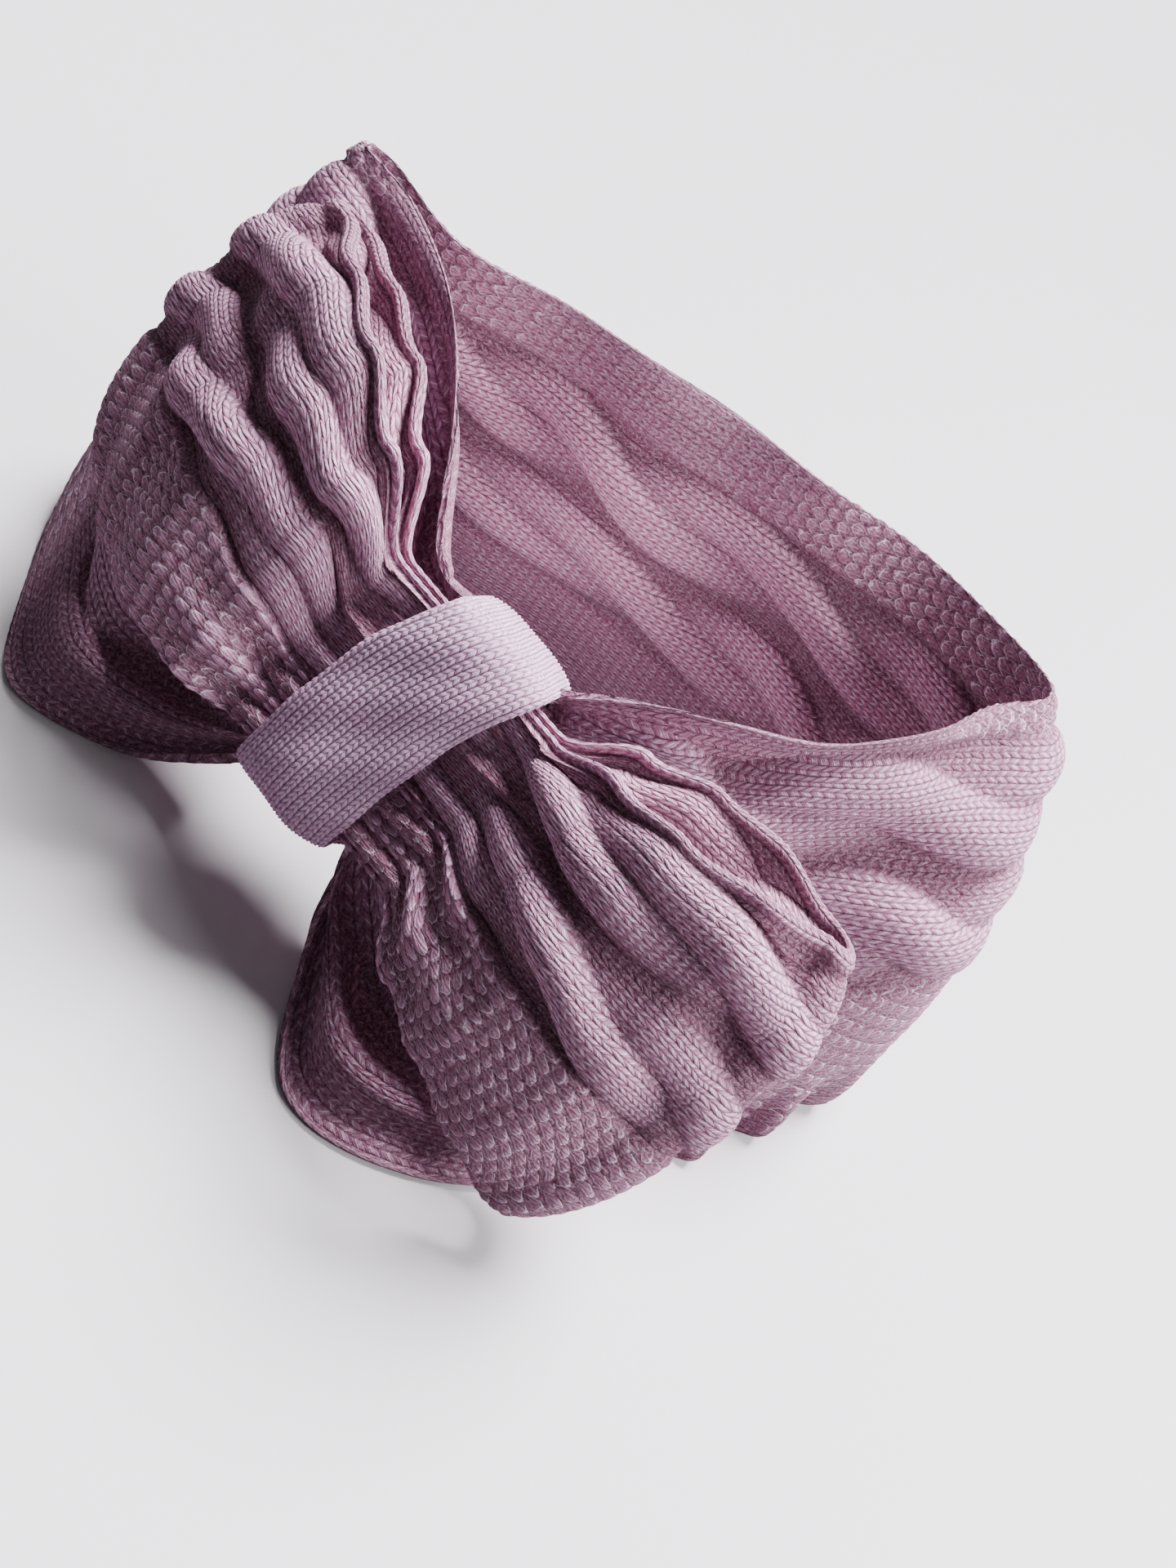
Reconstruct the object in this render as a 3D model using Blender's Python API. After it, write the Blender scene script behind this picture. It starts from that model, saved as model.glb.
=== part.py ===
"""Knitted headband with a wide bow: Blender 4.5 model, in metres, +Z up.

The headband is a soft ring of doubled knit that stands on its lower rim with the bow at the front (-Y).
At the front the ring is gathered into a narrow neck. The bow is a second strip, gathered the same way and
laid in front of that neck, and a small knitted wrap goes round both. The ring's front wall leans back, and
so does everything on it, so the bow and the wrap are laid out in a tilted knot frame.
"""

import math

import bmesh
import bpy
from mathutils import Vector

# ---- driving sizes, in metres ------------------------------------------------------------------------

GAP = 0.0003            # clearance between pieces that touch
BAND_HALF_LENGTH = 0.125    # centre of the ring to the widest point of its lower rim
BAND_HALF_DEPTH = 0.088     # centre of the ring to its frontmost or rearmost point
BAND_HEIGHT = 0.099     # height of the upper rim's centreline at the two side folds
BAND_THICKNESS = 0.008  # both plies of the knit
FLOOR_PRESS = 0.0012    # the lowest part of the rim is pressed flat up to this height

KNOT_HALF_HEIGHT = BAND_HEIGHT * 0.2626     # half the height of the gathered neck
NECK_THICKNESS = 0.0128     # band gathered inside the wrap
CORE_THICKNESS = 0.0134     # bow strip gathered inside the wrap
SEAM_THREAD = 0.0009    # diameter of the joining threads
SEAM_SHARE = 0.65       # the joins of the band and of the bow run over this share of the knot's height
SEAM_WIDTH = 0.004      # of their zigzag
SEAM_PITCH = 0.0022
TACK_TURNS = 4          # passes of thread in each hand stitch
TACK_PITCH = 0.0018
TACK_HEIGHT = 0.010     # first pass, from the middle of the wrap
TACK_BITE = 0.004       # from the wrap's edge to where the stitch goes in
WRAP_WIDTH = 0.0245     # along the band
WRAP_WALL = 0.0034
WRAP_ROUNDING = 0.35    # of its edges, as a share of its wall
WRAP_BOW = 0.0045       # the strip's front bulges this far towards the left loop
WRAP_SLANT = 0.0026     # and its upper end sits this far to the right

LEFT_LOOP_REACH = BAND_HALF_LENGTH * 0.824  # knot centre to the fold at the end of the loop
RIGHT_LOOP_REACH = BAND_HALF_LENGTH * 0.848
BOW_WALL = 0.0065       # one layer of the bow strip
LOOP_CORNER = 0.011     # how far the corners of a loop's end fall back
CORE_LEFT = (WRAP_WIDTH + WRAP_BOW) / 2 + GAP       # the gathered middle reaches as far as the wrap
CORE_RIGHT = (WRAP_WIDTH + WRAP_BOW) / 2 + WRAP_SLANT
CORE_ROUNDING = 0.0012  # of the ends of the gathered middle
CORE_END = 0.93         # size of its end faces, as a share of its middle
NECK_PAST_WRAP = 0.0012     # the band stays gathered a little past the wrap
NECK_HALF_LENGTH = WRAP_WIDTH / 2 + NECK_PAST_WRAP
NECK_STATIONS = (-0.5, 0.0, 0.5)        # across the neck, in units of its half length
ROOT_EASE = 0.0002      # a loop's root is this much thinner on each side than the gathered middle
ROOT_RADIUS = CORE_THICKNESS / 2 - ROOT_EASE    # rounded root of a loop, centred on its bending axis

ROOT_ANGLES = (75, 50, 25)  # stations round a loop's root and round its end fold, in degrees
END_ANGLES = (30, 55, 75)
LOOP_STEPS = 14         # stations along a loop
HOLLOW_START = 0.001    # half the thinnest space between a loop's layers that is cut open
LEAN_SHARE = 0.81736    # the knot leans back with the wall: this share of the half depth in the full height
KNOT_SQUARENESS = 0.5   # 1 is an oval section, 0 a box
TWIST_DEG = 9.0         # the knot is turned clockwise, seen from the front
KNOT_CENTRE = Vector((-0.0824 * BAND_HALF_LENGTH, -0.3068 * BAND_HALF_DEPTH, 0.5485 * BAND_HEIGHT))

# The rims of the band just beside the knot. For the lower and the upper rim it is a distance past the neck's
# end, a height up the knot in its half heights and a distance in front of the neck; then the wall's bulge.
RIGHT_OF_KNOT = ((0.0076, -1.973, 0.0042), (0.0106, 1.314, 0.0032), -0.003)
LEFT_OF_KNOT = ((0.0085, -1.654, -0.0045), (0.0077, 1.213, 0.0020), -0.004)

# The rims of the band, from the right of the knot round the back to its left. Each row is a point of the
# lower rim and one of the upper rim, with x, y and z in units of the half length, the half depth and the
# height, and then how far the wall between them bulges outwards, in metres.
RIM_ROWS = (
    ((0.17, -0.95, 0.00), (0.32, 0.01, 0.89), -0.012),
    ((0.44, -0.90, 0.00), (0.48, 0.12, 0.95), -0.014),
    ((0.68, -0.62, 0.00), (0.59, 0.36, 0.98), -0.006),
    ((0.87, -0.28, 0.00), (0.68, 0.57, 1.00), 0.006),
    ((0.97, 0.04, 0.00), (0.76, 0.74, 1.01), 0.013),
    ((0.95, 0.34, 0.00), (0.72, 0.87, 0.99), 0.013),
    ((0.74, 0.54, 0.00), (0.52, 0.93, 0.98), 0.004),
    ((0.35, 0.63, 0.00), (0.24, 0.91, 0.98), 0.000),
    ((-0.04, 0.64, 0.00), (-0.05, 0.86, 0.97), -0.002),
    ((-0.43, 0.60, 0.00), (-0.35, 0.77, 0.96), 0.000),
    ((-0.77, 0.48, 0.00), (-0.61, 0.67, 0.97), 0.002),
    ((-0.95, 0.26, 0.00), (-0.78, 0.64, 1.02), 0.005),
    ((-0.98, -0.04, 0.00), (-0.80, 0.58, 1.04), 0.005),
    ((-0.87, -0.41, 0.00), (-0.68, 0.56, 1.02), -0.004),
    ((-0.71, -0.62, 0.00), (-0.50, 0.40, 1.00), -0.009),
    ((-0.49, -0.57, 0.02), (-0.34, 0.15, 0.96), -0.009),
)
BAND_STEPS = 4          # stations between two rim rows
GATHER_LENGTH = 0.022   # the band thins from its neck to its own thickness over this length
SECTION_POINTS = 24
KNIT_PINK = (0.62, 0.36, 0.44, 1.0)
WRAP_PINK = (0.68, 0.46, 0.55, 1.0)
THREAD_PINK = (0.70, 0.45, 0.52, 1.0)


# ---- the tilted knot frame ---------------------------------------------------------------------------

def knot_axes():
    """Unit vectors of the knot: along the bow, up the knot, and out of its front."""
    lean = math.atan2(LEAN_SHARE * BAND_HALF_DEPTH, BAND_HEIGHT)
    twist = math.radians(TWIST_DEG)
    level = Vector((1.0, 0.0, 0.0))
    upright = Vector((0.0, math.sin(lean), math.cos(lean)))
    front = Vector((0.0, -math.cos(lean), math.sin(lean)))
    along = level * math.cos(twist) - upright * math.sin(twist)
    up = upright * math.cos(twist) + level * math.sin(twist)
    return along, up, front


ALONG, UP, FRONT = knot_axes()
NECK_FRONT = -(SEAM_THREAD / 2 + GAP)           # the band's neck ends here, behind the bow's seam
NECK_BACK = NECK_FRONT - NECK_THICKNESS
NECK_MIDDLE = (NECK_FRONT + NECK_BACK) / 2
CORE_BACK = SEAM_THREAD / 2 + GAP
CORE_FRONT = CORE_BACK + CORE_THICKNESS
CORE_MIDDLE = (CORE_BACK + CORE_FRONT) / 2
WRAP_INNER_BACK = NECK_BACK - 2 * GAP - SEAM_THREAD
LEFT_BEND = CORE_LEFT + GAP + ROOT_RADIUS       # where each loop bends
RIGHT_BEND = CORE_RIGHT + GAP + ROOT_RADIUS


def in_knot(along, up, front):
    """The point at these distances from the centre of the knot, in the knot frame."""
    return KNOT_CENTRE + ALONG * along + UP * up + FRONT * front


def soft_ellipse(half_a, half_b, count, squareness):
    """Points of a rounded outline with these half axes; squareness below 1 makes it boxier."""
    points = []
    for i in range(count):
        angle = 2 * math.pi * i / count
        c, s = math.cos(angle), math.sin(angle)
        points.append((math.copysign(abs(c) ** squareness, c) * half_a,
                       math.copysign(abs(s) ** squareness, s) * half_b))
    return points


def soft_edge(a, half_a, half_b, squareness):
    """How far the outline of soft_ellipse stands out at this distance along it."""
    c = abs(a / half_a) ** (1 / squareness)
    return half_b * math.sqrt(max(0.0, 1 - c * c)) ** squareness


# ---- helpers -----------------------------------------------------------------------------------------

def clear_scene():
    for old in list(bpy.data.objects):
        bpy.data.objects.remove(old, do_unlink=True)


def knit_material(name, colour, roughness):
    material = bpy.data.materials.new(name)
    material.use_nodes = True
    shader = material.node_tree.nodes["Principled BSDF"]
    shader.inputs["Base Color"].default_value = colour
    shader.inputs["Roughness"].default_value = roughness
    shader.inputs["Metallic"].default_value = 0.0
    return material


def empty(name, place, parent=None):
    """A plain axes empty at this place, measured from its parent."""
    axes = bpy.data.objects.new(name, None)
    axes.empty_display_size = 0.02
    axes.location = place
    axes.parent = parent
    bpy.context.scene.collection.objects.link(axes)
    return axes


def finish(name, bm, material):
    """The bmesh as a named object with outward normals and smooth shading."""
    bmesh.ops.recalc_face_normals(bm, faces=bm.faces)
    mesh = bpy.data.meshes.new(name)
    bm.to_mesh(mesh)
    bm.free()
    mesh.shade_smooth()
    mesh.set_sharp_from_angle(angle=math.radians(50))
    mesh.materials.append(material)
    piece = bpy.data.objects.new(name, mesh)
    bpy.context.scene.collection.objects.link(piece)
    return piece


def skin(bm, rings, closed):
    """Joins rings of points, each as long as the last, with quads; open ends are capped."""
    loops = [[bm.verts.new(point) for point in ring] for ring in rings]
    pairs = list(zip(loops, loops[1:]))
    if closed:
        pairs.append((loops[-1], loops[0]))
    for first, second in pairs:
        for i in range(len(first)):
            j = (i + 1) % len(first)
            bm.faces.new((first[i], first[j], second[j], second[i]))
    if not closed:
        bm.faces.new(loops[0])
        bm.faces.new(loops[-1])


def smooth_through(points, steps):
    """A Catmull-Rom curve through the points, with this many stations for each stretch."""
    ends = [2 * points[0] - points[1]] + list(points) + [2 * points[-1] - points[-2]]
    curve = []
    for before, here, there, after in zip(ends, ends[1:], ends[2:], ends[3:]):
        for k in range(steps):
            t = k / steps
            curve.append(0.5 * (2 * here + (there - before) * t
                                + (2 * before - 5 * here + 4 * there - after) * t * t
                                + (3 * here - before - 3 * there + after) * t ** 3))
    return curve + [points[-1]]


def smooth_step(t):
    t = min(1.0, max(0.0, t))
    return t * t * (3 - 2 * t)


# ---- the band ----------------------------------------------------------------------------------------

def on_rim(share):
    """A point of the rim from its share of the half length, the half depth and the height."""
    return Vector((share[0] * BAND_HALF_LENGTH, share[1] * BAND_HALF_DEPTH, share[2] * BAND_HEIGHT))


def beside_knot(side, row):
    """The row of rims just beside the knot on this side, which keeps clear of the wrap."""
    rims = [in_knot(side * (NECK_HALF_LENGTH + past), up * KNOT_HALF_HEIGHT, NECK_MIDDLE + front)
            for past, up, front in row[:2]]
    return rims + [row[2]]


def neck_rows(shares):
    """Rows across the neck at these shares of its half length: lower rim, upper rim, bulge."""
    rows = []
    for share in shares:
        x = share * NECK_HALF_LENGTH + WRAP_BOW / 2
        rows.append([in_knot(x - WRAP_SLANT, -KNOT_HALF_HEIGHT, NECK_MIDDLE),
                     in_knot(x + WRAP_SLANT, KNOT_HALF_HEIGHT, NECK_MIDDLE), 0.0])
    return rows


def band_rows():
    """Lower rim, upper rim and bulge at every station: round from the neck's right end, then across it."""
    start, end = neck_rows((1.0, -1.0))
    rows = [start, beside_knot(1, RIGHT_OF_KNOT)]
    rows += [[on_rim(low), on_rim(high), bulge] for low, high, bulge in RIM_ROWS]
    rows += [beside_knot(-1, LEFT_OF_KNOT), end]
    lower, upper, bulges = ([row[k] for row in rows] for k in range(3))
    around = zip(smooth_through(lower, BAND_STEPS), smooth_through(upper, BAND_STEPS),
                 smooth_through(bulges, BAND_STEPS))
    return [list(row) for row in around] + neck_rows(NECK_STATIONS)


def band_section(low, high, bulge, tangent):
    """One cross-section of the band: a rounded slab from its lower to its upper rim."""
    middle = (low + high) / 2
    from_neck = max(0.0, (middle - KNOT_CENTRE).length - NECK_HALF_LENGTH)
    gathered = 1 - smooth_step(from_neck / GATHER_LENGTH)
    rise = (high - low).normalized()
    outward = tangent.cross(rise).normalized()
    half_height = (high - low).length / 2
    half_thick = (BAND_THICKNESS + (NECK_THICKNESS - BAND_THICKNESS) * gathered) / 2
    ring = []
    for a, b in soft_ellipse(half_height, half_thick, SECTION_POINTS, KNOT_SQUARENESS):
        belly = bulge * (1 - (a / half_height) ** 2)
        ring.append(middle + rise * a + outward * (b + belly))
    return ring


def make_band(material):
    rows = band_rows()
    rings = []
    for i, (low, high, bulge) in enumerate(rows):
        ahead, behind = rows[(i + 1) % len(rows)], rows[i - 1]
        tangent = (ahead[0] + ahead[1] - behind[0] - behind[1]).normalized()
        if i == 0 or i >= len(rows) - 1 - len(NECK_STATIONS):
            tangent = ALONG
        rings.append(band_section(low, high, bulge, tangent))
    bm = bmesh.new()
    skin(bm, rings, closed=True)
    stand_on_floor(bm)
    return finish("headband_band", bm, material)


def middle_of(band):
    """The middle of the band's outline on the floor: the band is the widest and the deepest piece."""
    lowest, highest = (Vector([pick(vert.co[k] for vert in band.data.vertices) for k in range(2)] + [0.0])
                       for pick in (min, max))
    return (lowest + highest) / 2


def stand_on_floor(bm):
    """Presses the lowest part of the rim flat on the floor."""
    for vert in bm.verts:
        if vert.co.z < FLOOR_PRESS:
            vert.co.z = 0.0


# ---- the knot ----------------------------------------------------------------------------------------

def make_bow_core(material):
    """The gathered middle of the bow strip, in front of the band's neck."""
    rings = []
    for x, share in ((-CORE_LEFT, CORE_END), (-CORE_LEFT + CORE_ROUNDING, 1.0), (0.0, 1.0),
                     (CORE_RIGHT - CORE_ROUNDING, 1.0), (CORE_RIGHT, CORE_END)):
        outline = soft_ellipse(KNOT_HALF_HEIGHT * share, CORE_THICKNESS / 2 * share, SECTION_POINTS,
                               KNOT_SQUARENESS)
        rings.append([in_knot(x, a, CORE_MIDDLE + b) for a, b in outline])
    bm = bmesh.new()
    skin(bm, rings, closed=False)
    return finish("bow_gathered_middle", bm, material)


def wrap_outline(offset):
    """Points of the wrap's cross-section, this far outside its inner face.

    Its front half follows the bow's gathered middle, and its back half the band's neck and the seam on it.
    """
    half_height = KNOT_HALF_HEIGHT + 2 * GAP + offset
    front = soft_ellipse(half_height, CORE_THICKNESS / 2 + GAP + offset, SECTION_POINTS, KNOT_SQUARENESS)
    back = soft_ellipse(half_height, NECK_THICKNESS / 2 + 2 * GAP + SEAM_THREAD + offset, SECTION_POINTS,
                        KNOT_SQUARENESS)
    turn = SECTION_POINTS // 2
    outline = [(a, CORE_MIDDLE + b) for a, b in front[:turn + 1]]
    outline += [(a, NECK_MIDDLE + b) for a, b in back[turn:]]
    outline.append((back[0][0], NECK_MIDDLE))
    return outline


def wrap_shift(a, w):
    """How far the strip is pushed along the bow at this height: bowed in front, straight behind."""
    share = a / (KNOT_HALF_HEIGHT + WRAP_WALL)
    in_front = smooth_step((w - NECK_MIDDLE) / (CORE_MIDDLE - NECK_MIDDLE))
    return WRAP_SLANT * share - WRAP_BOW * in_front * (1 - share * share) + WRAP_BOW / 2


def make_wrap(material):
    """The small knitted strip round the neck and the bow: its section runs once round the strip's wall."""
    half = WRAP_WIDTH / 2
    soft = WRAP_WALL * WRAP_ROUNDING
    wall = ((-half + soft, 0.0), (half - soft, 0.0), (half, soft), (half, WRAP_WALL - soft),
            (half - soft, WRAP_WALL), (-half + soft, WRAP_WALL), (-half, WRAP_WALL - soft), (-half, soft))
    rings = []
    for x, offset in wall:
        rings.append([in_knot(x + wrap_shift(a, b), a, b) for a, b in wrap_outline(offset)])
    bm = bmesh.new()
    skin(bm, rings, closed=True)
    return finish("centre_wrap", bm, material)


# ---- the bow loops -----------------------------------------------------------------------------------

# One loop from its root (0) to its end fold (1): share of the way and half thickness in metres, and then in
# knot half heights how far its middle stands in front of the core's and the reach of its upper and lower edges.
RIGHT_LOOP = ((0.00, 0.0066, 0.000, 0.904, 0.904), (0.22, 0.0115, 0.231, 1.385, 1.269),
              (0.45, 0.0150, 0.423, 1.654, 1.423), (0.72, 0.0150, 0.385, 1.750, 1.654),
              (1.00, 0.0115, 0.192, 1.654, 1.923))
LEFT_LOOP = ((0.00, 0.0066, 0.000, 0.904, 0.904), (0.22, 0.0110, 0.154, 1.577, 0.962),
             (0.45, 0.0140, 0.077, 2.000, 0.962), (0.72, 0.0130, -0.308, 2.192, 0.923),
             (1.00, 0.0100, -0.923, 2.269, 0.885))


def along_loop(rows, t):
    """The loop's row at share t, blended smoothly between the two rows beside it."""
    for first, second in zip(rows, rows[1:]):
        if t <= second[0]:
            share = smooth_step((t - first[0]) / (second[0] - first[0]))
            row = [a + (b - a) * share for a, b in zip(first, second)]
            return row[:2] + [KNOT_HALF_HEIGHT * size for size in row[2:]]
    raise ValueError("a loop ends at share 1")


def loop_stations(rows, length):
    """Stations from the rounded root to the rounded end: distance from the bend axis, then the sizes."""
    root, end = along_loop(rows, 0.0), along_loop(rows, 1.0)
    stations = []
    for angle in ROOT_ANGLES:
        back = math.radians(angle)
        stations.append((-ROOT_RADIUS * math.sin(back), ROOT_RADIUS * math.cos(back), *root[2:]))
    straight = length - end[1]
    for k in range(LOOP_STEPS + 1):
        t = k / LOOP_STEPS
        stations.append((straight * t, *along_loop(rows, t)[1:]))
    for angle in END_ANGLES:
        out = math.radians(angle)
        stations.append((straight + end[1] * math.sin(out), end[1] * math.cos(out), *end[2:]))
    return stations


def make_loop(name, rows, side, bend, reach, material):
    """A bow loop: a puffed pouch, open at its upper and lower edges, hollowed by a cutter."""
    rings = []
    hollow = []
    length = reach - bend
    for x, half_thick, forward, upper, lower in loop_stations(rows, length):
        half_height = (upper + lower) / 2
        middle = (upper - lower) / 2
        outward = max(0.0, x / length)
        ring = []
        for a, b in soft_ellipse(half_height, half_thick, SECTION_POINTS, KNOT_SQUARENESS):
            corner = LOOP_CORNER * outward ** 2 * abs(a / half_height) ** 3
            ring.append(in_knot(side * (bend + x - corner), middle + a, CORE_MIDDLE + forward + b))
        rings.append(ring)
        if half_thick - BOW_WALL > HOLLOW_START and 0 < x < length - BOW_WALL - LOOP_CORNER:
            hollow.append((side * (bend + x), CORE_MIDDLE + forward, half_thick - BOW_WALL))
    bm = bmesh.new()
    skin(bm, rings, closed=False)
    piece = finish(name, bm, material)
    cut(piece, hollow)
    return piece


def cut(piece, hollow):
    """Cuts the space between the loop's front and back layers right through, from edge to edge."""
    through = BAND_HEIGHT
    outline = [(x, w - half) for x, w, half in hollow]
    outline += [(x, w + half) for x, w, half in reversed(hollow)]
    bm = bmesh.new()
    skin(bm, [[in_knot(x, up, w) for x, w in outline] for up in (-through, through)], closed=False)
    bmesh.ops.recalc_face_normals(bm, faces=bm.faces)
    mesh = bpy.data.meshes.new(piece.name + "_hollow")
    bm.to_mesh(mesh)
    bm.free()
    cutter = bpy.data.objects.new(mesh.name, mesh)
    bpy.context.scene.collection.objects.link(cutter)
    cutter.hide_render = True
    cutter.display_type = 'WIRE'
    boolean = piece.modifiers.new("hollow", 'BOOLEAN')
    boolean.operation = 'DIFFERENCE'
    boolean.object = cutter


# ---- the threads -------------------------------------------------------------------------------------

def make_thread(name, paths, material):
    """Sewing thread along each of the paths, as one curve object."""
    curve = bpy.data.curves.new(name, 'CURVE')
    curve.dimensions = '3D'
    curve.bevel_depth = SEAM_THREAD / 2
    curve.bevel_resolution = 1
    curve.use_fill_caps = True
    for path in paths:
        spline = curve.splines.new('POLY')
        spline.points.add(len(path) - 1)
        for point, place in zip(spline.points, path):
            point.co = (*place, 1.0)
    curve.materials.append(material)
    piece = bpy.data.objects.new(name, curve)
    bpy.context.scene.collection.objects.link(piece)
    return piece


def zigzag(length, place):
    """A zigzag seam of this length; place(a, b) turns it into points."""
    count = int(length / SEAM_PITCH)
    start = -count * SEAM_PITCH / 2
    return [place(start + k * SEAM_PITCH, SEAM_WIDTH / 2 * (-1) ** k) for k in range(count + 1)]


def make_seams(material):
    """The joins of the band, of the bow strip and of the wrap."""
    clear = GAP + SEAM_THREAD / 2
    length = 2 * KNOT_HALF_HEIGHT * SEAM_SHARE
    behind_wrap = WRAP_INNER_BACK - WRAP_WALL - clear

    def behind_neck(a):
        bulge = soft_edge(a, KNOT_HALF_HEIGHT, NECK_THICKNESS / 2, KNOT_SQUARENESS)
        return NECK_MIDDLE - bulge - clear

    make_thread("band_join_seam", [zigzag(length, lambda a, b: in_knot(b, a, behind_neck(a)))], material)
    make_thread("bow_join_seam", [zigzag(length, lambda a, b: in_knot(b, a, 0.0))], material)
    across_wrap = zigzag(WRAP_WIDTH - SEAM_WIDTH, lambda a, b: in_knot(a + WRAP_BOW / 2, b, behind_wrap))
    make_thread("wrap_join_seam", [across_wrap], material)


def make_tacks(material):
    """Hand stitches that hold the back of the wrap to the band's neck, one at each corner."""
    edge = WRAP_WIDTH / 2
    clear = GAP + SEAM_THREAD / 2
    behind = WRAP_INNER_BACK - WRAP_WALL - clear
    beside = edge + clear
    for side, side_name in ((-1, "left"), (1, "right")):
        for level, level_name in ((-1, "lower"), (1, "upper")):
            path = []
            for k in range(TACK_TURNS):
                height = level * (TACK_HEIGHT + k * TACK_PITCH)
                over = [(edge - TACK_BITE, behind), (edge, behind), (beside, behind + SEAM_THREAD),
                        (beside, WRAP_INNER_BACK)]
                if k % 2:
                    over.reverse()
                path += [in_knot(side * x + wrap_shift(height, w), height, w) for x, w in over]
            make_thread(f"tack_stitch_{level_name}_{side_name}", [path], material)


def bend_at(loop, side, bend, whole):
    """Hangs a loop on an empty that stands where it bends, at the edge of the gathered middle."""
    place = in_knot(side * bend, 0.0, CORE_MIDDLE)
    axis = empty(f"{loop.name}_bend", place, whole)
    loop.parent = axis
    loop.location = -place


def main():
    clear_scene()
    knit = knit_material("pink_knit", KNIT_PINK, 0.85)
    fine_knit = knit_material("fine_pink_knit", WRAP_PINK, 0.8)
    thread = knit_material("sewing_thread", THREAD_PINK, 0.6)
    band = make_band(knit)
    make_bow_core(knit)
    make_wrap(fine_knit)
    make_seams(thread)
    make_tacks(thread)
    right_loop = make_loop("bow_loop_right", RIGHT_LOOP, 1, RIGHT_BEND, RIGHT_LOOP_REACH, knit)
    left_loop = make_loop("bow_loop_left", LEFT_LOOP, -1, LEFT_BEND, LEFT_LOOP_REACH, knit)
    pieces = list(bpy.data.objects)
    whole = empty("headband", -middle_of(band))
    for piece in pieces:
        piece.parent = whole
    bend_at(right_loop, 1, RIGHT_BEND, whole)
    bend_at(left_loop, -1, LEFT_BEND, whole)


main()
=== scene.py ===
"""Knitted headband with a wide bow: cloth, stitches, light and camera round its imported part. In metres."""

import math

import bmesh
import bpy
import numpy as np
from mathutils import Matrix, Vector


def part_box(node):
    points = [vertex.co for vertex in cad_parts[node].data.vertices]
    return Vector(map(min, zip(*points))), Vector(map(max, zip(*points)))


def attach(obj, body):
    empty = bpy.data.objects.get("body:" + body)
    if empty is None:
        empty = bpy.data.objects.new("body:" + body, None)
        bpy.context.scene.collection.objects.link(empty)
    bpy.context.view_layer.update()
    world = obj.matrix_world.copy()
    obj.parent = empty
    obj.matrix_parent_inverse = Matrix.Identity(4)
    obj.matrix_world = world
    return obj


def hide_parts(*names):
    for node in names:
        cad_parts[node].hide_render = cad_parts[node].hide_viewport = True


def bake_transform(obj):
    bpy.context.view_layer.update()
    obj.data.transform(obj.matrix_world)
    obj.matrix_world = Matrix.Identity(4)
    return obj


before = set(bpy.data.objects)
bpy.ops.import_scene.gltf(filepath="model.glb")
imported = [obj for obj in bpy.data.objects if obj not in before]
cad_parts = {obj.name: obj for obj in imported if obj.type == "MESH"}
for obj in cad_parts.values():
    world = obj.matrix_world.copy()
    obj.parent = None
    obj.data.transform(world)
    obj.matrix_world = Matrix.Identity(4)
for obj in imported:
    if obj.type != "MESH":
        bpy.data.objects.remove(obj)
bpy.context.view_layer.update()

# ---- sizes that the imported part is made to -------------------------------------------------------

GAP = 0.0003
BAND_HALF_LENGTH = 0.125
BAND_HALF_DEPTH = 0.088
BAND_HEIGHT = 0.099
BAND_THICKNESS = 0.008
KNOT_HALF_HEIGHT = 0.0260
NECK_THICKNESS = 0.0128
CORE_THICKNESS = 0.0134
SEAM_THREAD = 0.0009
WRAP_WIDTH = 0.0245
WRAP_WALL = 0.0034
WRAP_BOW = 0.0045
WRAP_SLANT = 0.0026
LEFT_LOOP_REACH = 0.103
RIGHT_LOOP_REACH = 0.106
BOW_WALL = 0.0065
LOOP_CORNER = 0.011
LEAN = math.radians(36.0)
TWIST = math.radians(9.0)
SQUARENESS = 0.5
KNOT_FROM_RING = (-0.0103, -0.0270, 0.0543)

# Round the ring: lower rim and upper rim, in shares of half length, half depth and height, then the
# wall's bulge.
RIM_ROWS = (
    ((0.02, -0.64, 0.09), (0.15, -0.07, 0.77), -0.003),
    ((0.17, -0.95, 0.00), (0.32, 0.01, 0.89), -0.012),
    ((0.44, -0.90, 0.00), (0.48, 0.12, 0.95), -0.014),
    ((0.68, -0.62, 0.00), (0.59, 0.36, 0.98), -0.006),
    ((0.87, -0.28, 0.00), (0.68, 0.57, 1.00), 0.006),
    ((0.97, 0.04, 0.00), (0.76, 0.74, 1.01), 0.013),
    ((0.95, 0.34, 0.00), (0.72, 0.87, 0.99), 0.013),
    ((0.74, 0.54, 0.00), (0.52, 0.93, 0.98), 0.004),
    ((0.35, 0.63, 0.00), (0.24, 0.91, 0.98), 0.000),
    ((-0.04, 0.64, 0.00), (-0.05, 0.86, 0.97), -0.002),
    ((-0.43, 0.60, 0.00), (-0.35, 0.77, 0.96), 0.000),
    ((-0.77, 0.48, 0.00), (-0.61, 0.67, 0.97), 0.002),
    ((-0.95, 0.26, 0.00), (-0.78, 0.64, 1.02), 0.005),
    ((-0.98, -0.04, 0.00), (-0.80, 0.58, 1.04), 0.005),
    ((-0.87, -0.41, 0.00), (-0.68, 0.56, 1.02), -0.004),
    ((-0.71, -0.62, 0.00), (-0.50, 0.40, 1.00), -0.009),
    ((-0.49, -0.57, 0.02), (-0.34, 0.15, 0.96), -0.009),
    ((-0.31, -0.46, 0.16), (-0.21, -0.03, 0.80), -0.004),
)
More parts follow.
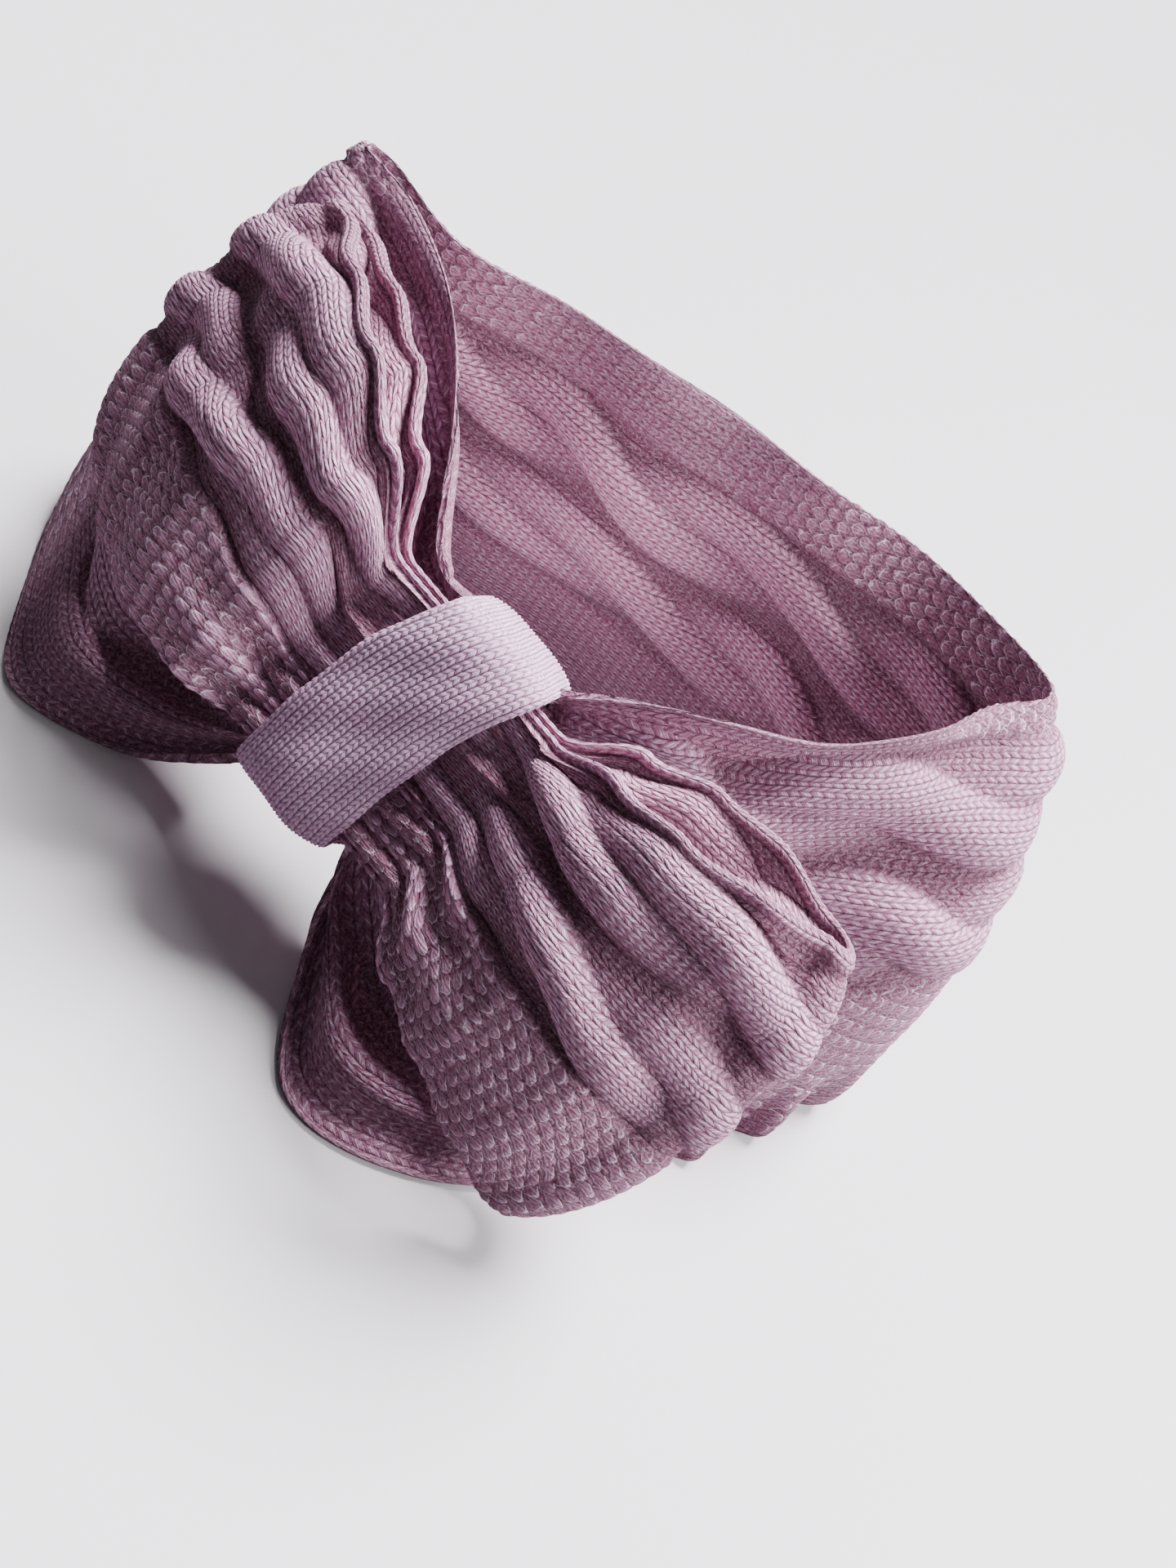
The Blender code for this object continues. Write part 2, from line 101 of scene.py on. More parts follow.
# Share of the loop's length, half thickness, forward shift, upper and lower reach.
RIGHT_LOOP = ((0.00, 0.0066, 0.000, 0.0250, 0.0250), (0.22, 0.0115, 0.006, 0.0360, 0.0330),
              (0.45, 0.0150, 0.011, 0.0430, 0.0370), (0.72, 0.0150, 0.010, 0.0455, 0.0430),
              (1.00, 0.0115, 0.005, 0.0430, 0.0500))
LEFT_LOOP = ((0.00, 0.0066, 0.000, 0.0250, 0.0250), (0.22, 0.0110, 0.004, 0.0410, 0.0250),
             (0.45, 0.0140, 0.002, 0.0520, 0.0250), (0.72, 0.0130, -0.008, 0.0570, 0.0240),
             (1.00, 0.0100, -0.024, 0.0590, 0.0230))

# ---- the knit ------------------------------------------------------------------------------------

SAMPLES = 4                 # points along each side of a stitch
BAND_WALES = 76             # columns of stitches round the doubled band
BAND_COURSES = 152          # rows of stitches round the ring
BAND_PARTS = (("band_cloth_right", 0, 38), ("band_cloth_back", 38, 76), ("band_cloth_left", 76, 114),
              ("band_cloth_front", 114, 152))
LOOP_WALES = 68
LOOP_COURSES = 66
FINER = 1.25                # knitted columns and rows to one wale or course of the band and the loops
SCALES_ACROSS = 0.6         # scales of moss stitch to one knitted column, and to one row
SCALES_ALONG = 0.68
WRAP_WALES = 30
WRAP_COURSES = 88
WRAP_CLOTH = 0.0268         # the wrap's cloth, a little wider than its packed strip
CABLE_PITCH = 9.5           # wales in one rope cable
CABLE_PERIOD = 31.0         # courses in one full twist of its two strands

BAND_ROPES = 0.0060         # height of the rope cables
LOOP_ROPES = 0.0062
STITCH_HEIGHT = 0.0004      # height of a single stitch
FINE_STITCH_HEIGHT = 0.0005
PLEAT_HEIGHT = 0.0042       # of the band's folds beside the bow
PLEATS_END = 0.095          # how far from the neck they run out
RUFFLE_HEIGHT = 0.0045      # of the waves at the lower rim
RUFFLE_COURSES = 4.6        # courses from wave to wave
INSIDE_WRAP = 0.017         # how far a loop's cloth runs in under the wrap

# ---- colours and light ---------------------------------------------------------------------------

# Each knit: painted shade between the stitches and in the valleys of the cables and folds, on the yarn,
# inside the ring and the loops (pinker: partly the yarn's own tone, partly painted bounce light), and its
# pale filaments.
KNIT_COLOURS = ((0.18, 0.040, 0.085), (0.66, 0.33, 0.53), (0.78, 0.32, 0.50), (0.95, 0.80, 0.94))
FINE_KNIT_COLOURS = ((0.26, 0.09, 0.20), (0.76, 0.48, 0.72), (0.78, 0.42, 0.64), (0.97, 0.84, 0.96))
THREAD_COLOUR = (0.66, 0.42, 0.50)
SHEEN_COLOUR = (0.95, 0.72, 0.84)
FLOOR_COLOURS = ((0.78, 0.78, 0.79), (0.82, 0.82, 0.82))
FLOOR_GLOW = (0.16, 0.13, 0.15)     # what the floor throws back
ROOM_COLOUR = (0.95, 0.91, 1.0)
ROOM_LIGHT = 0.10                   # from all round
ROOM_SEEN = 1.9                     # added where the camera sees the room itself

# ---- the knot frame ------------------------------------------------------------------------------

LEVEL = np.array((1.0, 0.0, 0.0))
UPRIGHT = np.array((0.0, math.sin(LEAN), math.cos(LEAN)))
FRONT = np.array((0.0, -math.cos(LEAN), math.sin(LEAN)))
ALONG = LEVEL * math.cos(TWIST) - UPRIGHT * math.sin(TWIST)
UP = UPRIGHT * math.cos(TWIST) + LEVEL * math.sin(TWIST)

CORE_LEFT = (WRAP_WIDTH + WRAP_BOW) / 2 + GAP
CORE_RIGHT = (WRAP_WIDTH + WRAP_BOW) / 2 + WRAP_SLANT
NECK_HALF_LENGTH = WRAP_WIDTH / 2 + 0.0012
ROOT_RADIUS = CORE_THICKNESS / 2 - 0.0002
NECK_MIDDLE = -(SEAM_THREAD / 2 + GAP) - NECK_THICKNESS / 2
CORE_MIDDLE = SEAM_THREAD / 2 + GAP + CORE_THICKNESS / 2
LEFT_BEND = CORE_LEFT + GAP + ROOT_RADIUS
RIGHT_BEND = CORE_RIGHT + GAP + ROOT_RADIUS

core_low, core_high = (np.array(corner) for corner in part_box("bow_gathered_middle"))
KNOT = (core_low + core_high) / 2 - ALONG * (CORE_RIGHT - CORE_LEFT) / 2 - FRONT * CORE_MIDDLE
RING = KNOT - np.array(KNOT_FROM_RING)


def in_knot(along, up, front):
    """Points at these distances from the knot's centre, as an array with x, y and z last."""
    along, up, front = np.broadcast_arrays(along, up, front)
    return KNOT + along[..., None] * ALONG + up[..., None] * UP + front[..., None] * FRONT


def smooth_step(t):
    t = np.clip(t, 0.0, 1.0)
    return t * t * (3 - 2 * t)


def even_section(half_height, half_thick, count):
    """Even points round a soft-cornered slab: down its outer face from the top, and up its inner one."""
    angle = np.linspace(0, 2 * math.pi, 721)
    c, s = np.cos(angle), np.sin(angle)
    a = np.sign(c) * np.abs(c) ** SQUARENESS * half_height
    b = np.sign(s) * np.abs(s) ** SQUARENESS * half_thick
    walked = np.concatenate(([0.0], np.cumsum(np.hypot(np.diff(a), np.diff(b)))))
    even = np.linspace(0, walked[-1], count + 1)
    return np.interp(even, walked, a), np.interp(even, walked, b)


def sections(half_heights, half_thicks, count):
    """The same for each station: two arrays, one row each."""
    rows = [even_section(h, t, count) for h, t in zip(half_heights, half_thicks)]
    return np.array([row[0] for row in rows]), np.array([row[1] for row in rows])


def even_path(points, count):
    """Shares of the way along a dense path that divide it into this many even steps."""
    walked = np.concatenate(([0.0], np.cumsum(np.linalg.norm(np.diff(points, axis=0), axis=1))))
    return np.interp(np.linspace(0, walked[-1], count + 1), walked, np.arange(len(points)))


def pick(values, places):
    """Rows of an array at fractional places."""
    low = np.minimum(np.floor(places).astype(int), len(values) - 2)
    share = (places - low).reshape((-1,) + (1,) * (values.ndim - 1))
    return values[low] * (1 - share) + values[low + 1] * share


# ---- heights of the knit, in wales (u) and courses (v) -------------------------------------------

def plain_knit(u, v):
    """Plain knit, 0 between the columns and 1 on the yarn."""
    a = np.abs(u % 1 - 0.5)
    w = (v - 1.3 * a) % 1
    column = 0.8 * np.sin(2 * np.pi * a) + 0.2 * (1 - 2 * a)
    return np.sqrt(np.clip(column, 0, 1)) * (0.6 + 0.4 * np.sin(np.pi * w))


def scale_knit(u, v):
    """Moss stitch: staggered soft bumps, each highest towards its lip."""
    x, y = u * SCALES_ACROSS, v * SCALES_ALONG
    across = np.abs(2 * ((x + 0.5 * np.floor(y)) % 1) - 1)
    return (1 - across ** 3) * (0.55 + 0.45 * np.cos(2 * np.pi * (y - 0.66)))


def rope_cables(u, v):
    """Rope cables: in each column two soft strands cross over one another again and again."""
    column = np.floor(u / CABLE_PITCH)
    x = u - (column + 0.5) * CABLE_PITCH
    turn = 2 * np.pi * v / CABLE_PERIOD + 2.3 * column + 0.5 * np.sin(0.11 * v + 1.7 * column)
    height = np.zeros_like(x)
    for sign in (1, -1):
        centre = sign * 0.24 * CABLE_PITCH * np.sin(turn)
        level = 0.64 + 0.36 * sign * np.cos(turn)
        dome = np.clip(1 - ((x - centre) / (0.27 * CABLE_PITCH)) ** 2, 0, 1) ** 0.55
        height = np.maximum(height, level * dome)
    return height


def mixed_knit(u, v, scales):
    """Plain knit, and moss stitch where scales is 1."""
    u, v = u * FINER, v * FINER
    return plain_knit(u, v) * (1 - scales) + scale_knit(u, v) * scales


def stitch_places(along, around):
    """Wales and courses at the points of a grid with this many steps along and around."""
    v, u = np.meshgrid(np.arange(along + 1) / SAMPLES, np.arange(around + 1) / SAMPLES, indexing="ij")
    return u, v


def zone(u, start, end, soft=1.0):
    """1 between these wales, and 0 outside them."""
    return smooth_step((u - start) / soft + 0.5) * smooth_step((end - u) / soft + 0.5)


# ---- meshes --------------------------------------------------------------------------------------

def make_cloth(name, points, u, v, marks):
    """A tube of cloth through these points, with its stitches as UVs and each mark as an attribute."""
    rows, columns = points.shape[0] - 1, points.shape[1] - 1
    bm = bmesh.new()
    bmesh.ops.create_grid(bm, x_segments=rows, y_segments=columns, size=1.0, calc_uvs=True)
    bm.loops.layers.uv.verify()
    mesh = bpy.data.meshes.new(name)
    bm.to_mesh(mesh)
    bm.free()
    flat = np.zeros(len(mesh.vertices) * 3)
    mesh.vertices.foreach_get("co", flat)
    flat = flat.reshape(-1, 3)
    i = np.rint((flat[:, 0] + 1) / 2 * rows).astype(int)
    j = np.rint((flat[:, 1] + 1) / 2 * columns).astype(int)
    mesh.vertices.foreach_set("co", points[i, j].astype(np.float32).ravel())
    for mark, values in marks.items():
        layer = mesh.attributes.new(mark, 'FLOAT', 'POINT')
        values = np.broadcast_to(values, points.shape[:2])[i, j]
        layer.data.foreach_set("value", values.astype(np.float32))
    corner = np.zeros(len(mesh.loops), dtype=np.int32)
    mesh.loops.foreach_get("vertex_index", corner)
    stitches = np.stack((u[i, j], v[i, j]), axis=-1)[corner]
    mesh.uv_layers[0].data.foreach_set("uv", stitches.astype(np.float32).ravel())
    bm = bmesh.new()
    bm.from_mesh(mesh)
    bm.verts.ensure_lookup_table()
    seam = [bm.verts[k] for k in np.flatnonzero((j == 0) | (j == columns))]
    bmesh.ops.remove_doubles(bm, verts=seam, dist=1e-6)
    bm.to_mesh(mesh)
    bm.free()
    mesh.update()
    mesh.shade_smooth()
    cloth = bpy.data.objects.new(name, mesh)
    bpy.context.scene.collection.objects.link(cloth)
    return cloth


def outward(points):
    """Unit normals of a grid that is closed round its second side."""
    along = np.gradient(points, axis=0)
    ring = np.concatenate((points[:, -2:-1], points, points[:, 1:2]), axis=1)
    across = (ring[:, 2:] - ring[:, :-2]) / 2
    normal = np.cross(across, along)
    return normal / np.linalg.norm(normal, axis=-1, keepdims=True)


def turned_out(cloth):
    """The cloth with all its faces turned over, to face outwards."""
    bm = bmesh.new()
    bm.from_mesh(cloth.data)
    bmesh.ops.reverse_faces(bm, faces=bm.faces)
    bm.to_mesh(cloth.data)
    bm.free()
    return cloth


# ---- the band ------------------------------------------------------------------------------------

def through(points, steps):
    """A smooth open curve through the points, this many stations to a stretch."""
    ends = np.concatenate(([2 * points[0] - points[1]], points, [2 * points[-1] - points[-2]]))
    t = (np.arange(steps) / steps)[:, None]
    stretches = []
    for before, here, there, after in zip(ends, ends[1:], ends[2:], ends[3:]):
        stretches.append(0.5 * (2 * here + (there - before) * t
                                + (2 * before - 5 * here + 4 * there - after) * t * t
                                + (3 * here - before - 3 * there + after) * t ** 3))
    return np.concatenate(stretches + [points[-1:]])


def band_lines():
    """Dense lower rim, upper rim and bulge, once round from the neck's right end and through the neck."""
    size = np.array((BAND_HALF_LENGTH, BAND_HALF_DEPTH, BAND_HEIGHT))
    necks = []
    for share in (1.0, -1.0):
        x = share * NECK_HALF_LENGTH + WRAP_BOW / 2
        necks.append(np.concatenate((in_knot(x - WRAP_SLANT, -KNOT_HALF_HEIGHT, NECK_MIDDLE),
                                     in_knot(x + WRAP_SLANT, KNOT_HALF_HEIGHT, NECK_MIDDLE), [0.0])))
    rims = [np.concatenate((np.array(low) * size + RING, np.array(high) * size + RING, [bulge]))
            for low, high, bulge in RIM_ROWS]
    lines = through(np.array([necks[0]] + rims + [necks[1]]), 40)
    share = np.linspace(0, 1, 60)[1:, None]
    return np.concatenate((lines, necks[1] * (1 - share) + necks[0] * share))


def band_grid():
    lines = band_lines()
    middle = (lines[:, :3] + lines[:, 3:6]) / 2
    count = BAND_COURSES * SAMPLES
    lines = pick(lines, even_path(middle, count))
    low, high, bulge = lines[:, :3], lines[:, 3:6], lines[:, 6]
    middle = (low + high) / 2
    tangent = np.roll(middle[:-1], -1, axis=0) - np.roll(middle[:-1], 1, axis=0)
    tangent = np.concatenate((tangent, tangent[:1]))
    tangent /= np.linalg.norm(tangent, axis=1, keepdims=True)
    from_neck = np.maximum(0.0, np.linalg.norm(middle - KNOT, axis=1) - NECK_HALF_LENGTH)
    near = 1 - smooth_step(from_neck / 0.006)[:, None]
    tangent = tangent * (1 - near) + ALONG * near
    rise = high - low
    half = np.linalg.norm(rise, axis=1) / 2
    rise = rise / (2 * half[:, None])
    out = np.cross(tangent, rise)
    out /= np.linalg.norm(out, axis=1, keepdims=True)
    gathered = 1 - smooth_step(from_neck / 0.022)
    thick = (BAND_THICKNESS + (NECK_THICKNESS - BAND_THICKNESS) * gathered) / 2
    around = BAND_WALES * SAMPLES
    a, b = sections(half, thick, around)
    belly = bulge[:, None] * (1 - (a / half[:, None]) ** 2)
    u, v = stitch_places(count, around)
    height = a / half[:, None]
    drape = 0.0016 * np.sin(0.21 * v + 2.2 * height) + 0.0012 * np.sin(0.37 * v - 3.1 * height + 1.0)
    loose = smooth_step(from_neck / 0.03)[:, None]
    pleats = PLEAT_HEIGHT * np.cos(2 * np.pi * height * 2.9 + 0.9)
    pleated = (1 - smooth_step(from_neck / PLEATS_END)) * smooth_step(from_neck / 0.004)
    pleats = pleats * pleated[:, None]
    at_rim = smooth_step((-0.55 - height) / 0.45) * zone(v, 26.0, 44.0, 6.0)
    ruffle = RUFFLE_HEIGHT * np.sin(2 * np.pi * v / RUFFLE_COURSES) * at_rim
    points = (middle[:, None] + rise[:, None] * a[..., None]
              + out[:, None] * (b + belly + drape * loose + pleats + ruffle)[..., None])
    return points, u, v, from_neck


def make_band(material):
    points, u, v, from_neck = band_grid()
    beside_bow = (1 - smooth_step((from_neck - 0.070) / 0.030))[:, None]
    lowest = 21.5 + 9.5 * beside_bow
    cables = zone(u, 2.5, lowest) + zone(u, 50.0, 69.0)
    scales = (zone(u, lowest, 36.5) + zone(u, 69.0, 90.0) + zone(u, -9.0, 2.5)) * (1 - beside_bow)
    shifted = np.where(u < 38, u - 2.5, u - 50.0)
    ropes = rope_cables(shifted, v) * cables + 0.30 * (1 - cables)
    stitch = mixed_knit(u, v, scales)
    under_wrap = smooth_step((from_neck - 0.001) / 0.006)[:, None]
    relief = BAND_ROPES * (ropes - 0.55) * under_wrap + STITCH_HEIGHT * (stitch - 0.6)
    points = points + outward(points) * relief[..., None]
    points[..., 2] = np.maximum(points[..., 2], 0.0001)
    # depth is the cables' height and also sets the painted shade in their valleys; inner marks the inside
    # face, painted pinker partly for bounce light.
    marks = {"scales": scales, "depth": ropes, "inner": zone(u, 39.0, 75.0, 4.0)}
    pieces = []
    for name, first, last in BAND_PARTS:
        rows = slice(first * SAMPLES, last * SAMPLES + 1)
        cut = {mark: values[rows] for mark, values in marks.items()}
        cloth = turned_out(make_cloth(name, points[rows], u[rows] * FINER, v[rows] * FINER, cut))
        cloth.data.materials.append(material)
        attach(cloth, "band")
        pieces.append(cloth)
    for cloth in pieces:
        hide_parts("headband_band")
    return pieces


# ---- the bow -------------------------------------------------------------------------------------

def loop_row(rows, t):
    """The loop's sizes at shares t of its length, blended smoothly between rows."""
    rows = np.array(rows)
    k = np.clip(np.searchsorted(rows[:, 0], t, side="right") - 1, 0, len(rows) - 2)
    share = smooth_step((t - rows[k, 0]) / (rows[k + 1, 0] - rows[k, 0]))[:, None]
    return (rows[k] * (1 - share) + rows[k + 1] * share)[:, 1:].T


def loop_grid(rows, side, bend, reach, notch):
    """The strip of one loop: out along the front, round the end fold, and back behind."""
    end = rows[-1]
    length = reach - bend
    straight = length - end[1]
    inside = INSIDE_WRAP / straight
    out_t = np.linspace(-inside, 1.0, 260)
    fold = np.linspace(math.pi / 2, -math.pi / 2, 60)[1:-1]
    t = np.concatenate((out_t, np.ones(len(fold)), out_t[::-1]))
    angle = np.concatenate((np.full(260, math.pi / 2), fold, np.full(260, -math.pi / 2)))
    half, forward, upper, lower = loop_row(rows, np.maximum(t, 0.0))
    upper = upper - notch * np.sin(np.pi * np.clip(t, 0, 1)) * (angle > 0)
    offset = half - BOW_WALL / 2
    x = bend + straight * t + offset * np.cos(angle) * (t >= 1.0)
    w = CORE_MIDDLE + forward + offset * np.sin(angle)
    count = LOOP_COURSES * SAMPLES
    path = np.stack((x, w, upper, lower, t, angle), axis=1)
    path = pick(path, even_path(path[:, :2], count))
    x, w, upper, lower, t, angle = path.T
    step = np.gradient(path[:, :2], axis=0)
    step /= np.linalg.norm(step, axis=1, keepdims=True)
    out_x, out_w = -step[:, 1], step[:, 0]
    around = LOOP_WALES * SAMPLES
    a, b = sections((upper + lower) / 2, np.full(count + 1, BOW_WALL / 2), around)
    share = a / ((upper + lower) / 2)[:, None]
    away = np.clip((x - bend) / length, 0, 1)[:, None]
    corner = LOOP_CORNER * away ** 2 * np.abs(share) ** 3
    middle = loop_row(rows, np.clip(t, 0, 1))[1] + CORE_MIDDLE
    pinch = 1 - 0.45 * np.clip(-share, 0, 1) ** 4 * smooth_step(away * 3)
    mid_w = middle[:, None] + (w - middle)[:, None] * pinch
    points = in_knot(side * (x[:, None] - corner + out_x[:, None] * b),
                     ((upper - lower) / 2)[:, None] + a, mid_w + out_w[:, None] * b)
    u, v = stitch_places(count, around)
    return points, u, v, x - bend


def make_loop(name, node, rows, side, bend, reach, notch, material):
    points, u, v, from_bend = loop_grid(rows, side, bend, reach, notch)
    half = LOOP_WALES / 2
    cables = zone(u, 1.5, 20.5) + zone(u, LOOP_WALES - 20.5, LOOP_WALES - 1.5)
    scales = zone(u, 20.5, half + 2.0) + zone(u, half + 2.0, LOOP_WALES - 20.5)
    mirrored = np.where(u < half, u, LOOP_WALES - u)
    ropes = rope_cables(mirrored - 1.5, v + 4.0) * cables
    near = 0.6 * (1 - smooth_step(from_bend / 0.038))[:, None]
    folds = 0.5 + 0.5 * np.cos(2 * np.pi * mirrored / 6.8)
    ropes = ropes + (0.35 + (folds - 0.35) * near) * (1 - cables)
    stitch = mixed_knit(u, v, scales)
    surface = 1.0 - 0.5 * smooth_step((from_bend + 0.004) / 0.020)[:, None]
    rim = 0.35 + 0.65 * smooth_step(np.minimum(mirrored, half - mirrored) / 2.0)
    rim = rim * (1 - 0.55 * smooth_step((from_bend / (reach - bend) - 0.75) / 0.25))[:, None]
    relief = LOOP_ROPES * (ropes - surface) * rim + STITCH_HEIGHT * (stitch - 0.6)
    points = points + outward(points) * side * relief[..., None]
    # depth is the height of the cables and folds and also sets the painted shade in their valleys; inner
    # marks the loop's inside face, painted pinker partly for bounce light.
    marks = {"scales": scales, "depth": ropes, "inner": zone(u, half + 1, LOOP_WALES - 1.0, 3.0)}
    cloth = make_cloth(name, points, u * FINER, v * FINER, marks)
    if side > 0:
        cloth = turned_out(cloth)
    cloth.data.materials.append(material)
    start = in_knot(side * (bend - 0.005), 0.0, CORE_MIDDLE)
    end = in_knot(side * (bend + 0.009), 0.0, CORE_MIDDLE)
    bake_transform(cloth)
    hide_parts(node)
    return cloth


def make_core(material):
    """The gathered middle of the bow strip, pleated lengthwise under the wrap."""
    count, around = 40, 280
    x = np.linspace(-0.7 * CORE_LEFT, 0.7 * CORE_RIGHT, count + 1)
    tuck = 0.9 - 0.3 * (np.abs(np.linspace(-1, 1, count + 1)) ** 8)
    a, b = sections(KNOT_HALF_HEIGHT * tuck, CORE_THICKNESS / 2 * tuck, around)
    u, v = stitch_places(count, around)
    points = in_knot(x[:, None], a, CORE_MIDDLE + b)
    relief = -0.0006 * (0.5 + 0.5 * np.cos(2 * np.pi * u / 5.0)) + 0.0003 * (plain_knit(u, v) - 1)
    points = points + outward(points) * relief[..., None]
    cloth = make_cloth("gathered_bow_middle", points, u, v, {"scales": 0 * u, "depth": 0.5 + 0 * u,
                                                            "inner": 0 * u})
    close_ends(cloth)
    cloth.data.materials.append(material)
    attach(cloth, "band")
    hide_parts("bow_gathered_middle")
    return cloth


def close_ends(cloth):
    """Fills the open ends of a tube of cloth, with normals outwards."""
    bm = bmesh.new()
    bm.from_mesh(cloth.data)
    bmesh.ops.holes_fill(bm, edges=[edge for edge in bm.edges if edge.is_boundary])
    bmesh.ops.recalc_face_normals(bm, faces=bm.faces)
    bm.to_mesh(cloth.data)
    bm.free()


# ---- the wrap ------------------------------------------------------------------------------------

def wrap_shift(a, w):
    """How far the strip is pushed along the bow at this place."""
    share = a / (KNOT_HALF_HEIGHT + WRAP_WALL)
    in_front = smooth_step((w - NECK_MIDDLE) / (CORE_MIDDLE - NECK_MIDDLE))
    sag = 0.0030 * in_front * np.clip(-share, 0, 1) ** 2
    return WRAP_SLANT * share - WRAP_BOW * in_front * (1 - share * share) + WRAP_BOW / 2 - sag


def wrap_path():
    """The strip's centreline once round the knot, as distances up and forward."""
    high = KNOT_HALF_HEIGHT + 2 * GAP + WRAP_WALL / 2
    front = CORE_THICKNESS / 2 + GAP + WRAP_WALL / 2
    back = NECK_THICKNESS / 2 + 2 * GAP + SEAM_THREAD + WRAP_WALL / 2
    angle = np.linspace(0, 2 * math.pi, 1441)
    c, s = np.cos(angle), np.sin(angle)
    a = np.sign(c) * np.abs(c) ** SQUARENESS * high
    w = np.where(s >= 0, CORE_MIDDLE + np.abs(s) ** SQUARENESS * front,
                 NECK_MIDDLE - np.abs(s) ** SQUARENESS * back)
    return np.stack((a, w), axis=1)


def make_wrap(material):
    path = wrap_path()
    count = WRAP_COURSES * SAMPLES
    path = pick(path, even_path(path, count))
    path[-1] = path[0]
    step = np.roll(path[:-1], -1, axis=0) - np.roll(path[:-1], 1, axis=0)
    step = np.concatenate((step, step[:1]))
    step /= np.linalg.norm(step, axis=1, keepdims=True)
    out_a, out_w = step[:, 1], -step[:, 0]
    around = WRAP_WALES * SAMPLES
    across, b = even_section(WRAP_CLOTH / 2, WRAP_WALL / 2, around)
    share = across / (WRAP_CLOTH / 2)
    b = b + 0.0012 * (1 - share * share) - 0.0002
    u, v = stitch_places(count, around)
    a = path[:, :1] + out_a[:, None] * b
    w = path[:, 1:] + out_w[:, None] * b
    points = in_knot(across + wrap_shift(a, w), a, w)
    soft = 0.00025 * np.sin(0.5 * v + 5 * share) + 0.0002 * np.sin(0.23 * v - 4 * share)
    relief = (FINE_STITCH_HEIGHT * (plain_knit(u, v) - 0.6) + soft) * (b[None] > 0)
    points = points + outward(points) * relief[..., None]
    points[-1] = points[0]
    cloth = make_cloth("centre_wrap_cloth", points, u, v, {"scales": 0 * u, "depth": 0.6 + 0 * u,
                                                           "inner": 0 * u})
    bm = bmesh.new()
    bm.from_mesh(cloth.data)
    bmesh.ops.remove_doubles(bm, verts=[vert for vert in bm.verts if vert.is_boundary], dist=1e-6)
    bmesh.ops.recalc_face_normals(bm, faces=bm.faces)
    bm.to_mesh(cloth.data)
    bm.free()
    cloth.data.shade_smooth()
    cloth.data.materials.append(material)
    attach(cloth, "band")
    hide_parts("centre_wrap")
    return cloth


# ---- materials -----------------------------------------------------------------------------------

class Graph:
    """Short ways to add and join nodes in one tree."""

    def __init__(self, tree):
        self.tree = tree

    def add(self, kind, **settings):
        node = self.tree.nodes.new(kind)
        for name, value in settings.items():
            setattr(node, name, value)
        return node

    def feed(self, socket, value):
        if isinstance(value, bpy.types.NodeSocket):
            self.tree.links.new(value, socket)
        else:
            socket.default_value = value

    def math(self, operation, *values, clamp=False):
        node = self.add("ShaderNodeMath", operation=operation, use_clamp=clamp)
        for socket, value in zip(node.inputs, values):
            self.feed(socket, value)
        return node.outputs[0]

    def ramp(self, value, low, high, to_low=0.0, to_high=1.0):
        node = self.add("ShaderNodeMapRange", interpolation_type='SMOOTHSTEP')
        limits = {"Value": value, "From Min": low, "From Max": high, "To Min": to_low, "To Max": to_high}
        for name, number in limits.items():
            self.feed(node.inputs[name], number)
        return node.outputs["Result"]

    def plus(self, value, other, share):
        """A value and a share of another."""
        return self.math('ADD', value, self.math('MULTIPLY', other, share))

    def fade(self, share, first, second):
        """The first number where the share is 0, and the second where it is 1."""
        rest = self.math('SUBTRACT', 1.0, share)
        return self.math('ADD', self.math('MULTIPLY', first, rest), self.math('MULTIPLY', second, share))

    def mix(self, share, first, second, blend='MIX'):
        node = self.add("ShaderNodeMix", data_type='RGBA', blend_type=blend)
        self.feed(node.inputs[0], share)
        self.feed(node.inputs[6], first)
        self.feed(node.inputs[7], second)
        return node.outputs[2]

    def noise(self, place, scale, detail=2.0, rough=0.5):
        node = self.add("ShaderNodeTexNoise")
        self.feed(node.inputs["Vector"], place)
        for name, number in (("Scale", scale), ("Detail", detail), ("Roughness", rough)):
            self.feed(node.inputs[name], number)
        return node.outputs["Fac"]


def stitch_group(name):
    """A node group that turns stitch counts and a wandering number into height and pale filaments."""
    tree = bpy.data.node_groups.new(name, "ShaderNodeTree")
    tree.interface.new_socket("Stitches", in_out='INPUT', socket_type="NodeSocketVector")
    tree.interface.new_socket("Wander", in_out='INPUT', socket_type="NodeSocketFloat")
    for label in ("Height", "Filament"):
        tree.interface.new_socket(label, in_out='OUTPUT', socket_type="NodeSocketFloat")
    g = Graph(tree)
    start = g.add("NodeGroupInput").outputs
    split = g.add("ShaderNodeSeparateXYZ")
    g.feed(split.inputs[0], start["Stitches"])
    return tree, g, split.outputs[0], split.outputs[1], start["Wander"], g.add("NodeGroupOutput").inputs


